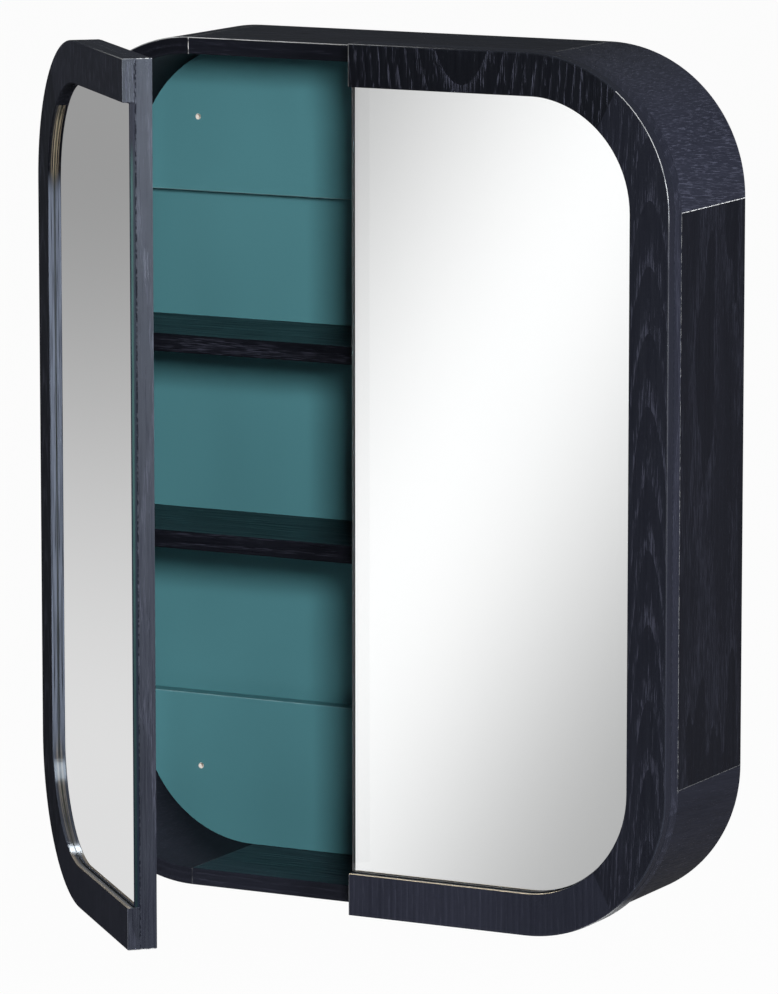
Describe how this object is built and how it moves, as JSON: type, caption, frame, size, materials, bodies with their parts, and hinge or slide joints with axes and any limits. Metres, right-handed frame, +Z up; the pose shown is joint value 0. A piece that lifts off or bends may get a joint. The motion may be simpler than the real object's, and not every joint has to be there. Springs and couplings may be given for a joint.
{
  "type": "medicine cabinet",
  "caption": "Wall-hung mirrored medicine cabinet with rounded corners, swinging doors on concealed hinges, and shelves inside.",
  "frame": {"origin": "middle of the wall face, the plane of the back panel and the carcass back edges", "axes": "+Z up, +Y into the wall, +X to the right of someone facing the doors"},
  "size_m": [0.6183, 0.3693, 0.762],
  "materials": {
    "dark_oak": "near-black blue stained oak with open grain, satin",
    "teal_board": "board painted teal, eggshell",
    "mirror_glass": "silvered float glass with a ground edge",
    "steel": "nickel-plated pressed steel",
    "bumper": "soft clear bumper",
    "beech": "bare beech"
  },
  "bodies": {
    "cabinet": {"back_panel": "teal_board", "back_panel_screws": "steel", "bottom_left_corner": "dark_oak", "bottom_panel": "dark_oak", "bottom_right_corner": "dark_oak", "corner_dowels": "beech", "left_arm_screws": "steel", "left_lower_hinge_arm": "steel", "left_lower_mounting_plate": "steel", "left_plate_screws": "steel", "left_side_panel": "dark_oak", "left_upper_hinge_arm": "steel", "left_upper_mounting_plate": "steel", "lower_hanging_rail": "teal_board", "lower_shelf": "dark_oak", "lower_shelf_lipping": "dark_oak", "right_arm_screws": "steel", "right_lower_hinge_arm": "steel", "right_lower_mounting_plate": "steel", "right_plate_screws": "steel", "right_side_panel": "dark_oak", "right_upper_hinge_arm": "steel", "right_upper_mounting_plate": "steel", "shelf_pins": "steel", "top_left_corner": "dark_oak", "top_panel": "dark_oak", "top_right_corner": "dark_oak", "upper_hanging_rail": "teal_board", "upper_shelf": "dark_oak", "upper_shelf_lipping": "dark_oak"},
    "left_door": {"left_cup_screws": "steel", "left_door_backing": "dark_oak", "left_door_bumpers": "bumper", "left_frame_bottom_rail": "dark_oak", "left_frame_stile": "dark_oak", "left_frame_top_rail": "dark_oak", "left_hinge_pins": "steel", "left_lower_hinge_cup": "steel", "left_mirror": "mirror_glass", "left_upper_hinge_cup": "steel"},
    "right_door": {"right_cup_screws": "steel", "right_door_backing": "dark_oak", "right_door_bumpers": "bumper", "right_frame_bottom_rail": "dark_oak", "right_frame_stile": "dark_oak", "right_frame_top_rail": "dark_oak", "right_hinge_pins": "steel", "right_lower_hinge_cup": "steel", "right_mirror": "mirror_glass", "right_upper_hinge_cup": "steel"}
  },
  "joints": [
    {"name": "left_door_swing", "type": "hinge", "parent": "cabinet", "child": "left_door", "pos_m": [-0.296, -0.146, 0], "axis": [0, 0, -1], "range_deg": [-46, 59]},
    {"name": "right_door_swing", "type": "hinge", "parent": "cabinet", "child": "right_door", "pos_m": [0.296, -0.146, 0], "axis": [0, 0, 1], "range_deg": [0, 105]}
  ]
}
